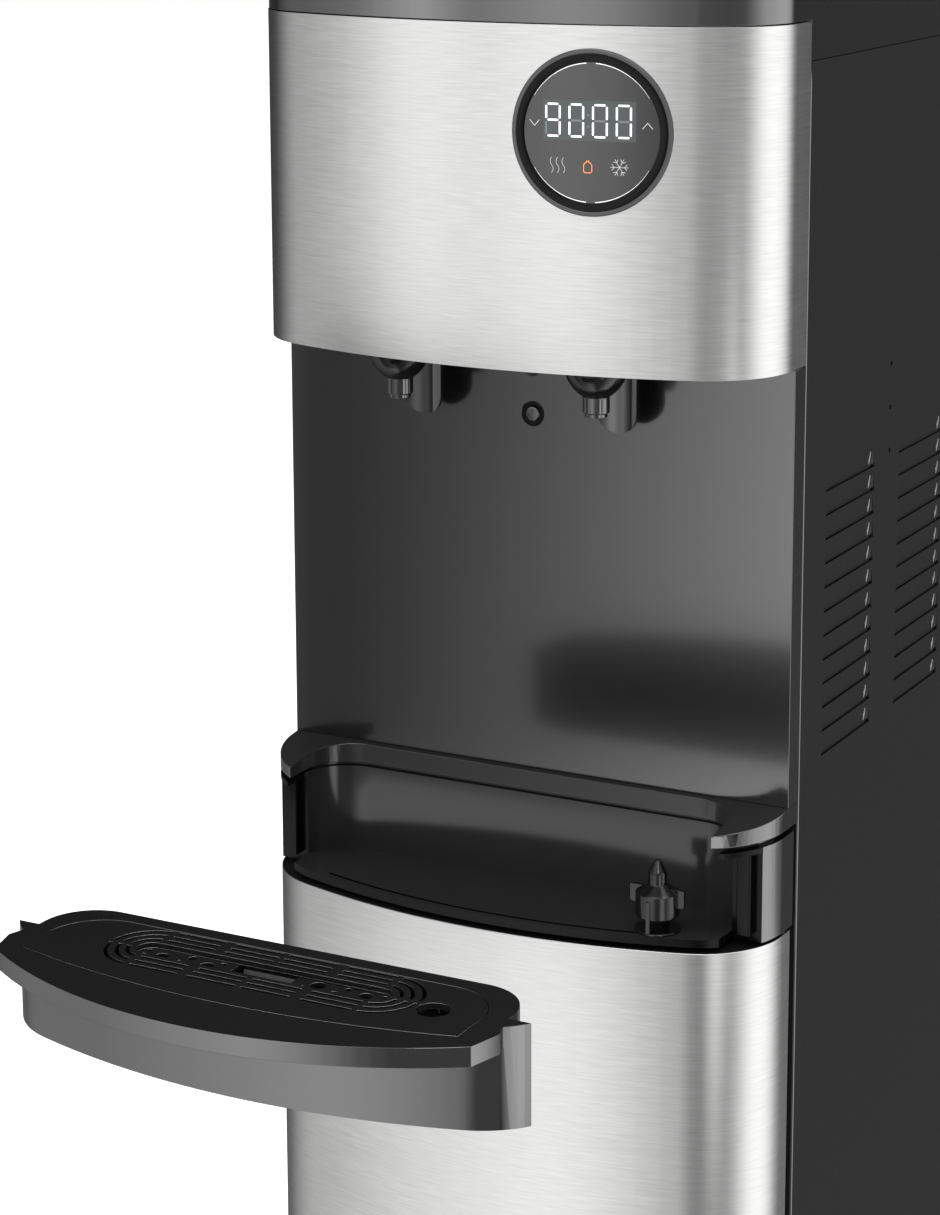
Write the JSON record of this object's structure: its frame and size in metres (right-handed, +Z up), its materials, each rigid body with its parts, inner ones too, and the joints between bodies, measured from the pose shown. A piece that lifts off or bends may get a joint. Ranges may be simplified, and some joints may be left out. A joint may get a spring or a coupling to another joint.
{
  "type": "water dispenser",
  "caption": "Free-standing bottom-loading hot and cold water dispenser with a bowed steel front, round display, dispensing niche, sliding drip tray and a bottle cabinet behind a door.",
  "frame": {"origin": "centre of the overall box at the floor", "axes": "+Z up, the front faces -Y, and +X is on the right of someone who looks at the front"},
  "size_m": [0.31, 0.6559, 1.0958],
  "materials": {
    "gloss_black": "high gloss moulded black",
    "matte_black": "fine matte moulded black",
    "brushed_steel": "horizontally brushed",
    "panel_black": "matte black coated sheet",
    "display_black": "dark display glass",
    "lamp_white": "milky lens",
    "float_black": "satin moulded black",
    "rubber": "soft matte",
    "zinc_steel": "zinc plated",
    "tank_steel": "drawn sheet",
    "foam": "moulded foam",
    "coil_black": "baked black enamel",
    "galvanised": "galvanised sheet",
    "silicone": "food grade hose",
    "probe_white": "satin moulded white",
    "board_green": "solder mask",
    "switch_red": "gloss moulded",
    "switch_green": "gloss moulded",
    "magnet_grey": "sintered magnet"
  },
  "bodies": {
    "cabinet": {"back_panel": "panel_black", "base_plinth": "matte_black", "bay_housing": "gloss_black", "bottle_platform": "matte_black", "bottle_probe": "probe_white", "button_bezel": "gloss_black", "cabinet_frame": "matte_black", "cold_tank": "tank_steel", "cold_tank_jacket": "foam", "cold_tap": "gloss_black", "compressor": "coil_black", "compressor_grommets": "rubber", "condenser_brackets": "coil_black", "condenser_coil": "coil_black", "condenser_wires": "coil_black", "display_bezel": "gloss_black", "display_board": "board_green", "display_lens": "display_black", "drain_cap": "matte_black", "fascia_frame": "matte_black", "fascia_skin": "brushed_steel", "float_guide": "matte_black", "hinge_bush": "matte_black", "hinge_pins": "zinc_steel", "hot_tank": "tank_steel", "hot_tank_jacket": "foam", "hot_tap": "gloss_black", "left_side_panel": "panel_black", "levelling_feet": "rubber", "mid_shelf": "galvanised", "niche_panel": "gloss_black", "night_light": "lamp_white", "outlet_tubes": "silicone", "paddle_pins": "zinc_steel", "paddle_switches": "matte_black", "panel_screws": "zinc_steel", "power_inlet": "matte_black", "probe_clip": "matte_black", "probe_hose": "silicone", "right_side_panel": "panel_black", "switch_plate": "matte_black", "tank_deck": "galvanised", "tap_valves": "matte_black", "top_cover": "gloss_black", "tray_collar": "gloss_black", "water_pump": "matte_black"},
    "tray": {"drip_tray": "gloss_black"},
    "grille": {"drip_grille": "matte_black"},
    "float": {"float_indicator": "float_black"},
    "hot_lever": {"hot_paddle": "gloss_black"},
    "cold_lever": {"cold_paddle": "gloss_black"},
    "button": {"lock_button": "gloss_black"},
    "door": {"door_skin": "brushed_steel", "door_liner": "matte_black", "door_gasket": "rubber", "door_magnet": "magnet_grey"},
    "hot_rocker": {"hot_switch": "switch_red"},
    "cold_rocker": {"cold_switch": "switch_green"},
    "light_rocker": {"light_switch": "gloss_black"}
  },
  "joints": [
    {"name": "tray_slide", "type": "slide", "parent": "cabinet", "child": "tray", "axis": [0, 1, 0], "range_m": [0, 0.25]},
    {"name": "grille_lift", "type": "slide", "parent": "tray", "child": "grille", "axis": [0, 0, 1], "range_m": [0, 0.06]},
    {"name": "float_rise", "type": "slide", "parent": "cabinet", "child": "float", "axis": [0, 0, 1], "range_m": [0, 0.01]},
    {"name": "hot_lever_swing", "type": "hinge", "parent": "cabinet", "child": "hot_lever", "pos_m": [-0.0595, 0.01893, 0.893], "axis": [1, 0, 0], "range_deg": [0, 8], "stiffness_Nm_per_rad": 0.3},
    {"name": "cold_lever_swing", "type": "hinge", "parent": "cabinet", "child": "cold_lever", "pos_m": [0.0595, 0.01893, 0.893], "axis": [1, 0, 0], "range_deg": [0, 8], "stiffness_Nm_per_rad": 0.3},
    {"name": "button_press", "type": "slide", "parent": "cabinet", "child": "button", "axis": [0, 1, 0], "range_m": [0, 0.0015], "stiffness_N_per_m": 400},
    {"name": "door_swing", "type": "hinge", "parent": "cabinet", "child": "door", "pos_m": [-0.148, 0.03393, 0.3], "axis": [0, 0, -1], "range_deg": [0, 110]},
    {"name": "hot_rocker_tilt", "type": "hinge", "parent": "cabinet", "child": "hot_rocker", "pos_m": [-0.11, 0.31493, 0.985], "axis": [1, 0, 0], "range_deg": [-6, 6]},
    {"name": "cold_rocker_tilt", "type": "hinge", "parent": "cabinet", "child": "cold_rocker", "pos_m": [-0.084, 0.31493, 0.985], "axis": [1, 0, 0], "range_deg": [-6, 6]},
    {"name": "light_rocker_tilt", "type": "hinge", "parent": "cabinet", "child": "light_rocker", "pos_m": [-0.058, 0.31493, 0.985], "axis": [1, 0, 0], "range_deg": [-6, 6]}
  ]
}
